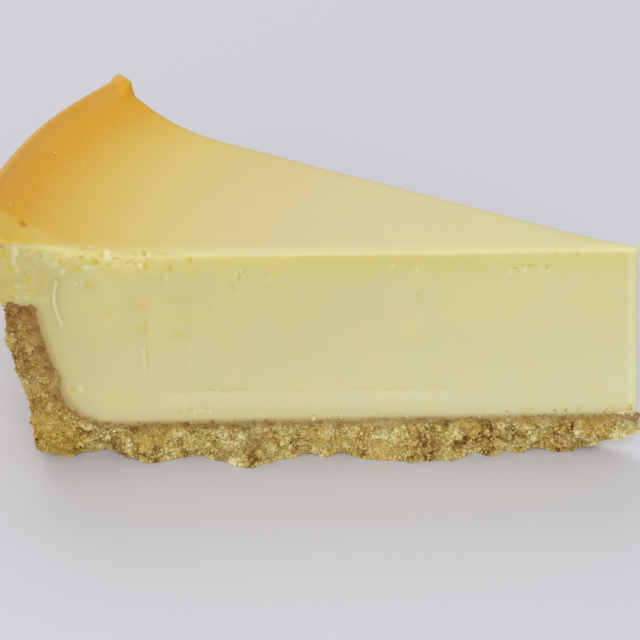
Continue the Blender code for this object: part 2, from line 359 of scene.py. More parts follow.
def cut_slice(obj):
    """Two leaning cuts leave the slice, and two more blunt its tip."""
    for side in (-1, 1):
        knife_cut(obj, *cut_face_plane(side))
    lean = math.atan2(TIP_LEAN, FILLING_HEIGHT)
    blunt = AXIS + Vector((-CUT_MISS - TIP_BLUNT, 0, FILLING_HEIGHT))
    knife_cut(obj, blunt, (math.cos(lean), 0, math.sin(lean)))
    chip = blunt + Vector((-TIP_CHIP, -(TIP_BLUNT + TIP_CHIP) * math.tan(HALF_ANGLE), 0))
    knife_cut(obj, chip, (math.cos(lean) * 0.75, -0.66, math.sin(lean) * 0.75))


def vertex_places(obj):
    places = np.empty(len(obj.data.vertices) * 3)
    obj.data.vertices.foreach_get("co", places)
    return places.reshape(-1, 3)


def vertex_normals(obj):
    normals = np.empty(len(obj.data.vertices) * 3)
    obj.data.vertices.foreach_get("normal", normals)
    return normals.reshape(-1, 3)


def set_places(obj, places):
    obj.data.vertices.foreach_set("co", places.ravel())
    obj.data.update()


def step(value, low, high):
    """0 below low, 1 above high and smooth in between."""
    share = np.clip((value - low) / (high - low), 0, 1)
    return share * share * (3 - 2 * share)


def clouds(places, size, seed, mask=None):
    """Smooth noise from about -1 to 1 at every place where the mask isn't zero."""
    shift = Vector((seed * 7.3, seed * 3.1, seed * 5.7))
    values = np.zeros(len(places))
    rows = range(len(places)) if mask is None else np.nonzero(mask > 1e-3)[0]
    for row in rows:
        values[row] = noise.noise(Vector(places[row]) / size + shift)
    return values


def grains(places, size, seed, mask=None):
    """Rounded grains: 1 at the middle of each and falling to about 0 in the gaps between them."""
    shift = Vector((seed * 7.3, seed * 3.1, seed * 5.7))
    values = np.zeros(len(places))
    rows = range(len(places)) if mask is None else np.nonzero(mask > 1e-3)[0]
    for row in rows:
        nearest = noise.voronoi(Vector(places[row]) / size + shift)[0]
        values[row] = min(1, 2.2 * (nearest[1] - nearest[0]))
    return values


def face_depth(places, side):
    """How far each place lies in behind a cut face."""
    point, normal = cut_face_plane(side)
    return (np.array(point) - places) @ np.array(normal)


def from_tip(places):
    """How far each place lies in behind the blunt end of the tip."""
    end = AXIS.x - CUT_MISS - TIP_BLUNT + TIP_LEAN * (1 - places[:, 2] / FILLING_HEIGHT)
    return end - places[:, 0]


def radii(places):
    return np.hypot(places[:, 0] - AXIS.x, places[:, 1])


def face_frame(side):
    """A cut face's corner at the tip, the direction along it to the rim, and its outward normal."""
    point, normal = cut_face_plane(side)
    along = np.array((-math.cos(HALF_ANGLE), side * math.sin(HALF_ANGLE), 0))
    return np.array(point), along, np.array(normal)


def along_face(places, side):
    point, along, _ = face_frame(side)
    return (places - point) @ along


def on_cut_face(along_mm, up_mm, side=-1):
    """The place on a cut face at a distance from where the cuts meet and a height."""
    point, along, normal = face_frame(side)
    place = point + along * along_mm * MM
    place[2] = up_mm * MM
    return place - normal * ((place - point) @ normal)


def from_seam(places):
    """Distance from where custard and crust meet: above 0 in the crust and below 0 in the custard."""
    line = np.array([(0, BASE_THICKNESS), *inner_corner()])
    spots = np.column_stack([radii(places), places[:, 2]])
    nearest = near_line(spots, line)
    wall = np.interp(spots[:, 1], line[1:, 1], line[1:, 0])
    custard_side = (spots[:, 1] > BASE_THICKNESS) & ((spots[:, 0] < wall) | (spots[:, 1] > CRUST_HEIGHT))
    return np.where(custard_side, -nearest, nearest)


def near_line(spots, line):
    """How far each flat spot is from a bent line."""
    nearest = np.full(len(spots), np.inf)
    for start, end in zip(np.array(line), np.array(line)[1:]):
        run = end - start
        share = np.clip((spots - start) @ run / (run @ run), 0, 1)
        nearest = np.minimum(nearest, np.linalg.norm(spots - start - share[:, None] * run, axis=1))
    return nearest


def set_attribute(obj, name, values):
    layer = obj.data.attributes.new(name, "FLOAT", "POINT")
    layer.data.foreach_set("value", np.asarray(values, dtype=np.float32))


def select_places(obj, rows):
    """Edit mode with the vertices in these rows selected."""
    make_active(obj)
    chosen = np.zeros(len(obj.data.vertices), dtype=bool)
    chosen[rows] = True
    bpy.ops.object.mode_set(mode="EDIT")
    bpy.ops.mesh.select_mode(type="VERT")
    bpy.ops.mesh.select_all(action="DESELECT")
    bpy.ops.object.mode_set(mode="OBJECT")
    obj.data.vertices.foreach_set("select", chosen)
    bpy.ops.object.mode_set(mode="EDIT")


def smooth_near(obj, rows, factor, repeat):
    select_places(obj, rows)
    bpy.ops.mesh.vertices_smooth(factor=factor, repeat=repeat)
    bpy.ops.object.mode_set(mode="OBJECT")


def refine_near(obj, rows):
    """Cuts every face whose corners are all in these rows into smaller ones."""
    select_places(obj, rows)
    bpy.ops.mesh.subdivide(number_cuts=1)
    bpy.ops.mesh.select_all(action="SELECT")
    bpy.ops.mesh.quads_convert_to_tris()
    bpy.ops.object.mode_set(mode="OBJECT")


def thin_to(obj, triangles):
    faces = sum(len(p.vertices) - 2 for p in obj.data.polygons)
    if faces > triangles:
        apply_modifier(obj, "TRIANGULATE")
        apply_modifier(obj, "DECIMATE", ratio=triangles / faces)


# ---------------------------------------------------------------- custard

def torn_share(places, side):
    """Where the browned skin was dragged apart by the knife: 1 in the worst of it, 0 elsewhere."""
    start, full, reach, strength = (0.66, 0.80, 0.0056, 1.0) if side < 0 else (0.94, 0.985, 0.0026, 0.6)
    r = radii(places)
    below = top_height(r) - places[:, 2]
    depth = face_depth(places, side)
    along = step(r / PIE_RADIUS, start, full)
    ragged = clouds(places, 0.004, side + 20, (depth < 0.004) & (below < 0.012)) * 0.0018
    skin = SKIN_DRAGGED_TO if side < 0 else 1
    along = along * (1 - step(places[:, 2] + 0.4 * ragged, skin - 0.0004, skin + 0.0006))
    edge = step(-below, -reach + ragged, -0.0008) * step(-depth, -0.0022, -0.0004)
    over_wall = step(r, 0.107, 0.112) * step(places[:, 2], 0.0315, 0.0345) * step(-depth, -0.0012, -0.0002)
    return along * np.maximum(edge, 0.8 * over_wall) * strength


def tear_edges(places, normals):
    """Curds torn open along the outer part of the -Y edge, and at the +Y corner of the rim."""
    move = np.zeros_like(places)
    for side in (-1, 1):
        mask = torn_share(places, side)
        curds = grains(places, 0.0019, side + 3, mask)
        fine = clouds(places, 0.0008, side + 5, mask)
        broad = clouds(places, 0.0042, side + 8, mask)
        height = (0.00018 * (curds - 0.78) + 0.00012 * fine + 0.0005 * (broad - 0.25)) * mask
        move += normals * height[:, None]
    return move


def dragged_share(places):
    """How far the knife pressed the browned skin down over the -Y edge, close to the rim."""
    r = radii(places)
    near_rim = step(r / PIE_RADIUS, 0.895, 0.965)
    near_edge = 1 - step(face_depth(places, -1), 0, 0.0060)
    return near_rim * near_edge * (1 - step(top_height(r) - places[:, 2], 0, 0.0078))


def raise_peak(places):
    """The lip of skin that the knife pulled up at the far corner of the rim, level on top."""
    r = radii(places)
    past_rim = step(r, PIE_RADIUS + 0.0002, PIE_RADIUS + 0.0012)
    across = step(r, PIE_RADIUS - 0.0042, PIE_RADIUS - 0.0034) * (1 - past_rim)
    along_rim = step(-face_depth(places, 1), -0.0042, -0.0008)
    near_top = step(places[:, 2] - top_height(np.minimum(r, PIE_RADIUS)), -0.0022, -0.0006)
    mask = across * along_rim * near_top
    ragged = 0.0004 * clouds(places, 0.0012, 31, mask) + 0.0004 * clouds(places, 0.0026, 32, mask)
    lift = np.clip(PEAK_HEIGHT - 0.28 * np.abs(PIE_RADIUS - r) - places[:, 2], 0, 0.0032) * mask
    return np.outer(lift + ragged * mask, (-0.05, 0.05, 1.0))


def draw_out_tip(places, reach, length):
    """Draws the tip out a little, by the most at its very end."""
    return np.outer(reach * (1 - step(from_tip(places), 0.0002, length)), (1.0, 0, 0))


def wobble(places, normals):
    """The slow unevenness of a set, spooned and cut custard."""
    r = radii(places)
    top = step(-(top_height(r) - places[:, 2]), -0.0015, -0.0003)
    front = step(-face_depth(places, -1), -0.0012, -0.0002)
    back = step(-face_depth(places, 1), -0.0012, -0.0002)
    mask = np.clip(top + front + back, 0, 1)
    slow = clouds(places, 0.022, 11, mask)
    streaks = clouds(places * np.array((1, 1, 0.10)), 0.0030, 12, front + back)
    return normals * (0.00022 * slow * mask + 0.00004 * streaks * (front + back))[:, None]


def mark_face(places):
    """The marks on the -Y cut face, as inward depths in metres and as lightness and yellowness; the
    lightness also holds a painted highlight at the blunt end of the tip.
    """
    torn = step(torn_share(places, -1), 0.1, 0.5)
    face = np.maximum(step(-face_depth(places, -1), -0.0010, -0.0003), torn)
    spots = np.column_stack([along_face(places, -1), places[:, 2]]) / MM
    depth = np.zeros(len(places))
    light = np.zeros(len(places))
    yellow = np.zeros(len(places))
    ragged = clouds(places, 0.0007, 41, face)
    for along, up, radius, deep in PITS:
        away = np.hypot(spots[:, 0] - along, spots[:, 1] - up) / radius + 0.55 * ragged
        depth += deep * (1 - step(away, 0.35, 1.05)) - 0.35 * deep * np.exp(-(((away - 1.25) / 0.22) ** 2))
        yellow += 0.4 * (1 - step(away, 0.3, 0.9))
        light += 0.15 * np.exp(-(((away - 1.2) / 0.25) ** 2))
    scrape = near_line(spots, SCRAPE)
    depth += 0.16 * np.exp(-(((scrape - 0.75) / 0.4) ** 2)) - 0.20 * np.exp(-((scrape / 0.40) ** 2))
    light += 0.60 * np.exp(-((scrape / 0.30) ** 2)) - 0.3 * np.exp(-(((scrape - 0.9) / 0.4) ** 2))
    for along, low, high, width, whiteness in DRAG_LINES:
        line = np.exp(-((near_line(spots, [(along, low), (along + 0.1, high)]) / width) ** 2))
        depth += 0.06 * line
        light += max(0, whiteness) * line
        yellow += max(0, -whiteness) * line
    for along, up, half_width, half_height, tone in BLOBS:
        away = np.hypot((spots[:, 0] - along) / half_width, (spots[:, 1] - up) / half_height) + 0.5 * ragged
        blob = 1 - step(away, 0.1, 1.4)
        depth -= 0.07 * tone * blob
        light += 0.9 * max(0, tone) * blob
        yellow += 1.35 * max(0, -tone) * blob
    for first, last, up, deep in CRACKS:
        bend = 0.16 * np.sin(spots[:, 0] * 0.9) + 0.10 * np.sin(spots[:, 0] * 2.3 + up)
        past_end = np.maximum(0, np.abs(spots[:, 0] - (first + last) / 2) - abs(first - last) / 2)
        line = np.hypot(past_end, spots[:, 1] - up - bend)
        broken = np.clip(0.45 + 1.6 * ragged, 0, 1)
        depth += deep * broken * np.exp(-((line / 0.20) ** 2))
        yellow += 0.30 * broken * np.exp(-((line / 0.24) ** 2))
    shelf = step(-spots[:, 1], -14.9, -13.9) * step(spots[:, 1], 11.0, 13.6) * step(spots[:, 0], 30, 36)
    depth -= 0.06 * shelf * (1 - step(spots[:, 0], 84, 90))
    light += 0.25 * shelf * (1 - step(spots[:, 0], 84, 90))
    blurred = clouds(places, 0.0026, 42, face)
    for along, up, half_width, half_height in SMEARS:
        away = np.hypot((spots[:, 0] - along) / half_width, (spots[:, 1] - up) / half_height)
        yellow += 0.36 * (1 - step(away + 0.5 * blurred, 0.2, 1.5))
    # Painted highlight: the blunt end of the tip is painted paler, for the light that it catches and lets
    # through.
    painted_tip_highlight = 0.55 * (1 - step(from_tip(places), 0.0009, 0.0019))
    return depth * MM * face, np.maximum(light * face, painted_tip_highlight), yellow * face


def marked_rows(places):
    """The rows of the places on the -Y face that are close to a fine mark."""
    spots = np.column_stack([along_face(places, -1), places[:, 2]]) / MM
    near = near_line(spots, SCRAPE) < 1.6
    for along, low, high, _, _ in DRAG_LINES:
        near |= near_line(spots, [(along, low), (along + 0.1, high)]) < 0.7
    for first, last, up, _ in CRACKS:
        near |= near_line(spots, [(first, up), (last, up)]) < 1.1
    for along, up, radius, _ in PITS:
        near |= np.hypot(spots[:, 0] - along, spots[:, 1] - up) < 1.8 * radius + 0.3
    for along, up, half_width, half_height, _ in BLOBS:
        near |= np.hypot((spots[:, 0] - along) / half_width, (spots[:, 1] - up) / half_height) < 1.6
    return np.nonzero(near & (face_depth(places, -1) < 0.0008))[0]


def make_custard():
    custard = turned_pie("lime_custard", custard_rings())
    cut_slice(custard)
    apply_modifier(custard, "REMESH", mode="VOXEL", voxel_size=CUSTARD_VOXEL)
    places = vertex_places(custard)
    r = radii(places)
    below = top_height(r) - places[:, 2]
    near_face = np.minimum(face_depth(places, -1), face_depth(places, 1)) < SMOOTHED_EDGE
    top_edge = near_face & (below < SMOOTHED_EDGE)
    tip_edge = (from_tip(places) < 0.0030) & (places[:, 2] > BASE_THICKNESS + 0.001)
    smooth_near(custard, np.nonzero(top_edge & ~tip_edge)[0], 0.5, 34)
    smooth_near(custard, np.nonzero(tip_edge)[0], 0.5, 6)
    places = vertex_places(custard)
    moved = places + wobble(places, vertex_normals(custard)) + raise_peak(places)
    pressed_down = np.outer(-SKIN_PRESSED_DOWN * dragged_share(places), (0, 0, 1.0))
    set_places(custard, moved + pressed_down + draw_out_tip(places, CUSTARD_TIP_DRAWN_OUT, 0.0040))
    thin_to(custard, CUSTARD_TRIANGLES)
    places = vertex_places(custard)
    torn = np.maximum(torn_share(places, -1), torn_share(places, 1))
    refine_near(custard, np.nonzero(torn > 0.02)[0])
    for _ in range(2):
        refine_near(custard, marked_rows(vertex_places(custard)))
    places = vertex_places(custard)
    set_attribute(custard, "seam", -from_seam(places) / MM)
    set_attribute(custard, "torn", np.maximum(torn_share(places, -1), torn_share(places, 1)))
    depth, light, yellow = mark_face(places)
    set_attribute(custard, "dragged", dragged_share(places))
    # Painted highlight: how close the browned top lies to the -Y face, where the finish paints its bent
    # edge paler.
    set_attribute(custard, "edge", 1 - step(face_depth(places, -1), 0.0004, 0.0036))
    # The lightness of the marks, with the painted highlight at the blunt end of the tip.
    set_attribute(custard, "light", light)
    set_attribute(custard, "yellow", yellow)
    places = places + tear_edges(places, vertex_normals(custard)) - np.outer(depth, face_frame(-1)[2])
    set_places(custard, places)
    return custard


# ---------------------------------------------------------------- crumb crust

def shed(places, side):
    """How far the lower edge of a cut face has crumbled back, as inward moves."""
    normal = np.array(cut_face_plane(side)[1])
    depth = np.maximum(face_depth(places, side), 0)
    edge = np.maximum(0, 1 - depth / 0.0080) ** 2 * np.maximum(0, 1 - places[:, 2] / 0.0036)
    near_wall = np.clip((radii(places) / PIE_RADIUS - 0.60) / 0.25, 0, 1)
    loose = 0.7 + clouds(places, 0.0062, 4, edge)
    inward = np.array((-normal[0], -normal[1], 0))
    return inward * (edge * (0.0013 * loose + 0.0019 * near_wall))[:, None]


def bulge_lumps(places):
    """Lumps of crumb that the knife pushed out of the lower edge at -Y, and the gaps between them."""
    along = along_face(places, -1) / MM
    depth = np.maximum(face_depth(places, -1), 0)
    edge = np.maximum(0, 1 - depth / 0.0090) ** 2 * (1 - step(places[:, 2], 0.0030, 0.0078))
    out = np.zeros(len(places))
    for centre, half_width, height in LUMPS:
        out += height * MM * np.exp(-(((along - centre) / half_width) ** 2))
    out += 0.0010 * clouds(places, 0.0030, 9, edge)
    normal = face_frame(-1)[2] * (1, 1, 0)
    lifted = np.outer(0.6 * np.maximum(0, -out) * edge, (0, 0, 1.0))
    from_corner = np.hypot(along - 118.0, places[:, 2] / MM)
    chipped = 2.4 * MM * (1 - step(from_corner, 0, 9)) * np.maximum(0, 1 - depth / 0.010)
    return normal * (out * edge)[:, None] + lifted + np.outer(chipped, (0.7, 0, 0.7))


def crumble(places, normals):
    """Lumps of crumb and the hollows between them: open on the cut faces, pressed flat on the wall."""
    cut = np.zeros(len(places))
    for side in (-1, 1):
        facing = np.clip(normals @ np.array(cut_face_plane(side)[1]), 0, 1) ** 2
        cut = np.maximum(cut, facing)
    moist = 1 - step(from_seam(places) + clouds(places, 0.0040, 8) * 0.0010, 0.0010, 0.0026)
    floor = step(normals[:, 2], 0.6, 0.9) * step(-radii(places), -FOOT_RADIUS + WALL_THICKNESS, -0.1)
    loose = (cut * (1 - 0.90 * moist) + 0.22 * (1 - cut)) * (1 - np.clip(floor, 0, 1))
    lumps = clouds(places, 0.0065, 1, loose)
    chunks = grains(places, 0.0040, 2, loose)
    large = grains(places, 0.0019, 3, loose)
    small = grains(places, 0.0010, 5, loose)
    height = 0.0009 * lumps + 0.0013 * (chunks - 0.80) + 0.0008 * (large - 0.70) + 0.0003 * (small - 0.60)
    out = normals.copy()
    out[:, 2] = np.maximum(out[:, 2], 0)
    wet = moist * cut
    smeared = 0.00006 + 0.00018 * clouds(places, 0.0034, 6, wet) + 0.00020 * clouds(places, 0.0012, 7, wet)
    moves = out * ((height * loose + wet * smeared) * np.clip(places[:, 2] / 0.0012, 0, 1))[:, None]
    # Painted shade: how deep each place lies in a gap between the lumps, for the finish to paint darker.
    gaps = np.maximum(1 - chunks / 0.75, 1 - large / 0.60) * np.clip(loose * 1.4, 0, 1)
    return moves, np.clip(gaps, 0, 1)


def make_crust():
    crust = turned_pie("crumb_crust", crust_rings())
    cut_slice(crust)
    slope = math.atan2(BREAK_HEIGHT, BREAK_LENGTH)
    break_point = AXIS + Vector((-CUT_MISS + TIP_LEAN - BREAK_LENGTH, 0, 0))
    knife_cut(crust, break_point, (math.sin(slope), 0, -math.cos(slope)))
    apply_modifier(crust, "REMESH", mode="VOXEL", voxel_size=CRUMB_VOXEL)
    places = vertex_places(crust)
    moves, gaps = crumble(places, vertex_normals(crust))
    set_attribute(crust, "gap", gaps)
    moved = places + moves + shed(places, -1) + shed(places, 1)
    set_places(crust, moved + bulge_lumps(places) + draw_out_tip(places, CRUST_TIP_DRAWN_OUT, 0.0070))
    thin_to(crust, CRUST_TRIANGLES)
    set_attribute(crust, "seam", from_seam(vertex_places(crust)) / MM)
    return crust


# ---------------------------------------------------------------- scattered crumbs and curds

def lump_shapes(count, draw, roughness):
    """Uneven lumps about 2 across, each of 20 faces, as (corners, faces)."""
    shapes = []
    for _ in range(count):
        deselect_everything()
        bpy.ops.mesh.primitive_ico_sphere_add(subdivisions=1, radius=1)
        lump = bpy.context.object
        corners = np.array([v.co * draw.uniform(1 - roughness, 1 + roughness) for v in lump.data.vertices])
        shapes.append((corners, np.array([p.vertices[:] for p in lump.data.polygons])))
        bpy.data.meshes.remove(lump.data)
    return shapes


def random_turn(draw):
    angles = [draw.uniform(0, 2 * math.pi) for _ in range(3)]
    turn = Matrix.Rotation(angles[0], 3, "X") @ Matrix.Rotation(angles[1], 3, "Y")
    return np.array(turn @ Matrix.Rotation(angles[2], 3, "Z"))


def joined_lumps(name, shapes, spots, draw):
    """One mesh of many lumps. A spot is a place, a 3 x 3 turn and size, and a tone from 0 to 1."""
    corners = []
    faces = []
    tones = []
    first = 0
    for place, turn, tone in spots:
        shape, shape_faces = draw.choice(shapes)
        lump = shape @ turn.T + place
        lump[:, 2] += max(0, -lump[:, 2].min())  # nothing lies below the board
        corners.append(lump)
        faces.append(shape_faces + first)
        tones.append(np.full(len(shape), tone))
        first += len(shape)
    mesh = bpy.data.meshes.new(name)
    mesh.from_pydata(np.concatenate(corners), [], np.concatenate(faces).tolist())
    piece = bpy.data.objects.new(name, mesh)
    bpy.context.collection.objects.link(piece)
    set_attribute(piece, "tone", np.concatenate(tones))
    return piece


def surface_of(obj):
    return BVHTree.FromObject(obj, bpy.context.evaluated_depsgraph_get())


def crumb_spots(surface, starts, inward, sink, draw):
    """Crumbs lying in a rough surface, found by looking at it from the starts along one direction."""
    spots = []
    for start, coverage in starts:
        place, normal, _, _ = surface.ray_cast(Vector(start), Vector(inward), 0.014)
        if place is None or draw.random() > coverage:
            continue
        radius = SMALLEST_CRUMB + CRUMB_SPREAD * draw.random() ** 2
        if draw.random() < BIG_CRUMB_SHARE:
            radius *= BIG_CRUMB_SCALE
        place = place + normal * radius * draw.uniform(-sink, 0.45)
        place.z = max(place.z, radius)
        size = np.diag([radius * draw.uniform(0.75, 1.25) for _ in range(3)])
        spots.append((np.array(place), random_turn(draw) @ size, draw.random()))
    return spots


def cut_face_starts(side, draw, spacing=0.00043):
    """Points in front of the crust on a cut face, close together, with how crumbly the crust is there."""
    normal = face_frame(side)[2]
    starts = []
    for i in range(int(FACE_LENGTH / spacing)):
        for j in range(int(0.036 / spacing)):
            spot = on_cut_face((i + draw.random()) * spacing / MM, (j + draw.random()) * spacing / MM, side)
            starts.append(spot)
    starts = np.array(starts)
    seam = from_seam(starts)
    ragged = clouds(starts, 0.0035, 51) * 0.0013
    coverage = 0.45 + 0.55 * step(seam + ragged, 0.0006, 0.0020)
    inner_wall = step(starts[:, 2], 0.010, 0.016)
    coverage *= 1 - 0.75 * inner_wall * (1 - step(seam + ragged, 0.0022, 0.0042))
    kept = (seam > -0.0002) & (radii(starts) < FOOT_RADIUS + WALL_LEAN)
    return [(spot + normal * LOOK_FROM, share) for spot, share in zip(starts[kept], coverage[kept])]


def climbing_crumbs(custard, draw):
    """The few crumbs that lie on the custard of the -Y face, along its foot."""
    surface = surface_of(custard)
    normal = face_frame(-1)[2]
    spots = []
    for along, up, spread, count in CLIMBERS:
        for _ in range(count):
            spot = on_cut_face(along + draw.gauss(0, spread), up + draw.gauss(0, 0.4))
            spots += crumb_spots(surface, [(spot + normal * LOOK_FROM, 1)], -normal, 0.1, draw)
    return [(place, turn, 0.6 + 0.4 * tone) for place, turn, tone in spots]


def shaded_in_gaps(spots):
    """The same crumbs, with those between the crust's lumps darker than those on top of them: painted
    shade.
    """
    places = np.array([place for place, _, _ in spots])
    raised = 0.55 * grains(places, 0.0040, 2) + 0.45 * grains(places, 0.0019, 3)
    return [(place, turn, 0.55 * tone + 0.45 * high) for (place, turn, tone), high in zip(spots, raised)]


def make_crumbs(crust, name, side, seed, custard=None):
    draw = random.Random(seed)
    shapes = lump_shapes(8, draw, 0.30)
    spots = crumb_spots(surface_of(crust), cut_face_starts(side, draw), -face_frame(side)[2], 0.35, draw)
    if custard:
        spots += climbing_crumbs(custard, draw)
    crumbs = joined_lumps(name, shapes, shaded_in_gaps(spots), draw)
    seam = from_seam(vertex_places(crumbs)) / MM
    set_attribute(crumbs, "seam", np.where(seam < -0.2, 3, seam))  # those on the custard are dry
    return crumbs


def wall_starts(draw, spacing=0.0011):
    """Points round the outside of the crust's wall."""
    starts = []
    for i in range(int(2 * HALF_ANGLE * FOOT_RADIUS / spacing)):
        angle = math.pi - HALF_ANGLE + (i + draw.random()) * spacing / FOOT_RADIUS
        out = Vector((math.cos(angle), math.sin(angle), 0))
        for j in range(int(CRUST_HEIGHT / spacing)):
            height = Vector((0, 0, (j + draw.random()) * spacing))
            starts.append((AXIS + out * (PIE_RADIUS + 0.004) + height, -out))
    return starts


def make_wall_crumbs(crust, seed):
    """The few crumbs that stand out of the pressed wall."""
    draw = random.Random(seed)
    shapes = lump_shapes(6, draw, 0.20)
    surface = surface_of(crust)
    spots = []
    for start, inward in wall_starts(draw):
        spots += crumb_spots(surface, [(start, 0.55)], inward, 0.75, draw)
    for _ in range(500):
        start = AXIS + Vector((0.004, draw.uniform(-0.004, 0.004), draw.uniform(0.001, 0.0085)))
        spots += crumb_spots(surface, [(start, 1)], (-1, 0, 0), 0.35, draw)
    crumbs = joined_lumps("wall_crumbs", shapes, spots, draw)
    set_attribute(crumbs, "seam", from_seam(vertex_places(crumbs)) / MM)
    return crumbs


def turned_on(normal, draw):
    """A turn that lays a fleck flat on a surface, with its length any way round."""
    upright = normal.to_track_quat("Z", "Y").to_matrix()
    return np.array(upright @ Matrix.Rotation(draw.uniform(0, 6.3), 3, "Z"))


def curd_spots(surface, draw):
    """Flecks of curd in the torn edge: (place, turn and size, tone) where 0 is pale and 1 is yellow."""
    normal = face_frame(-1)[2]
    spots = []
    for _ in range(24):
        s, z = draw.uniform(76, 117), draw.uniform(33.5, 44.6)
        start = on_cut_face(s, z)
        share = torn_share(start[None, :] - normal * 0.0005, -1)[0]
        if draw.random() > 0.85 * share:
            continue
        spots.append((start + normal * LOOK_FROM_NEAR, -normal))
    flecks = []
    for start, inward in spots:
        place, hit_normal, _, _ = surface.ray_cast(Vector(start), Vector(inward), 0.02)
        if place is None:
            continue
        radius = SMALLEST_CURD + CURD_SPREAD * draw.random() ** 2
        turn = turned_on(hit_normal, draw)
        size = np.diag([radius * draw.uniform(0.8, 2.0), radius, radius * draw.uniform(0.30, 0.45)])
        sunk = np.array(place) - np.array(hit_normal) * radius * draw.uniform(0.05, 0.25)
        flecks.append((sunk, turn @ size, draw.random() ** 1.5))
    return flecks


def single_curds(surface, draw):
    """Single flecks away from the torn edge: in the pits, near the crust and on the browned top."""
    normal = face_frame(-1)[2]
    flecks = []

    def add(start, inward, radius, tone, long=1.0):
        place, hit_normal, _, _ = surface.ray_cast(Vector(start), Vector(inward), 0.02)
        if place is None:
            return
        turn = turned_on(hit_normal, draw)
        size = np.diag([radius * long, radius, radius * 0.6])
        flecks.append((np.array(place) - np.array(hit_normal) * radius * 0.1, turn @ size, tone))

    for along, up, radius, _ in PITS:
        for _ in range(round(2 * radius)):
            spot = on_cut_face(along + draw.gauss(0, 0.65) * radius, up + draw.gauss(0, 0.65) * radius)
            radius_mm = draw.uniform(0.14, 0.30)
            add(spot + normal * LOOK_FROM_NEAR, -normal, radius_mm * MM, draw.choice((0, 0.2, 0.8)), 1.4)
    for along, up, count in ((69.8, 9.6, 2), (46.0, 9.7, 3), (27.0, 9.8, 3), (19.5, 10.2, 4)):
        for _ in range(count):
            spot = on_cut_face(along + draw.gauss(0, 0.7), up + draw.gauss(0, 0.45))
            radius_mm = draw.uniform(0.15, 0.32)
            add(spot + normal * LOOK_FROM_NEAR, -normal, radius_mm * MM, draw.choice((0, 0, 0.6)), 1.3)
    for x, y, radius in ((-53.4, 0.1, 0.42), (-48.3, 1.7, 0.30), (-51.7, -25.9, 0.26), (-40.0, 14.0, 0.16)):
        add(np.array((x * MM, y * MM, 0.06)), (0, 0, -1), radius * MM, 0.0)
    return flecks


def make_curds(custard, seed):
    draw = random.Random(seed)
    shapes = lump_shapes(6, draw, 0.28)
    surface = surface_of(custard)
    spots = curd_spots(surface, draw) + single_curds(surface, draw)
    return joined_lumps("custard_curds", shapes, spots, draw)


# ---------------------------------------------------------------- finishes

# The browned top, from the middle of the pie (0) to the rim (1).
BROWNING = [
    (0.10, "#e0d899"), (0.45, "#dfd197"), (0.66, "#dcca86"), (0.78, "#dcc76c"),
    (0.88, "#dcb741"), (0.945, "#e0a616"), (0.970, "#dfa318"), (1.0, "#dba744"),
]
BLISTER = (-0.0477, -0.0295, 0.0471)  # a dark golden blister near the rim
LOW_CORNER = (-0.0480, -0.0330, 0.0030)  # the foot of the crust's wall at -Y, where its crumbs are golden


def paint(value):
    """An sRGB hex colour as linear RGBA."""
    channels = [int(value[i : i + 2], 16) / 255 for i in (1, 3, 5)]
    linear = [c / 12.92 if c <= 0.04045 else ((c + 0.055) / 1.055) ** 2.4 for c in channels]
    return (*linear, 1)


# The settings of the nodes that are used most.
PLUS = {"operation": "ADD"}
MINUS = {"operation": "SUBTRACT"}
TIMES = {"operation": "MULTIPLY"}
TIMES_UP_TO_ONE = {"operation": "MULTIPLY", "use_clamp": True}
OVER = {"operation": "DIVIDE"}
LARGER = {"operation": "MAXIMUM"}
BLEND = {"data_type": "RGBA"}  # inputs 0, 6 and 7 are the share, the first and the second colour
FADE = {"interpolation_type": "SMOOTHSTEP"}  # inputs: the value, low, high, the result at low and at high


def node(tree, kind, settings, inputs, out=0):
    """Adds a node with its settings; an input gets a number, a hex colour or another node's output."""
    made = tree.nodes.new("ShaderNode" + kind)
    for name, value in settings.items():
        if name != "stops":
            setattr(made, name, value)
            continue
        elements = made.color_ramp.elements
        while len(elements) < len(value):
            elements.new(0.5)
        for element, (place, colour) in zip(elements, value):
            element.position = place
            element.color = paint(colour)
    for name, value in inputs.items() if isinstance(inputs, dict) else enumerate(inputs):
        if isinstance(value, bpy.types.NodeSocket):
            tree.links.new(value, made.inputs[name])
        else:
            made.inputs[name].default_value = paint(value) if isinstance(value, str) else value
    return made.outputs[out]


def new_finish(name):
    finish = bpy.data.materials.new(name)
    finish.use_nodes = True
    tree = finish.node_tree
    return finish, tree, tree.nodes["Principled BSDF"]


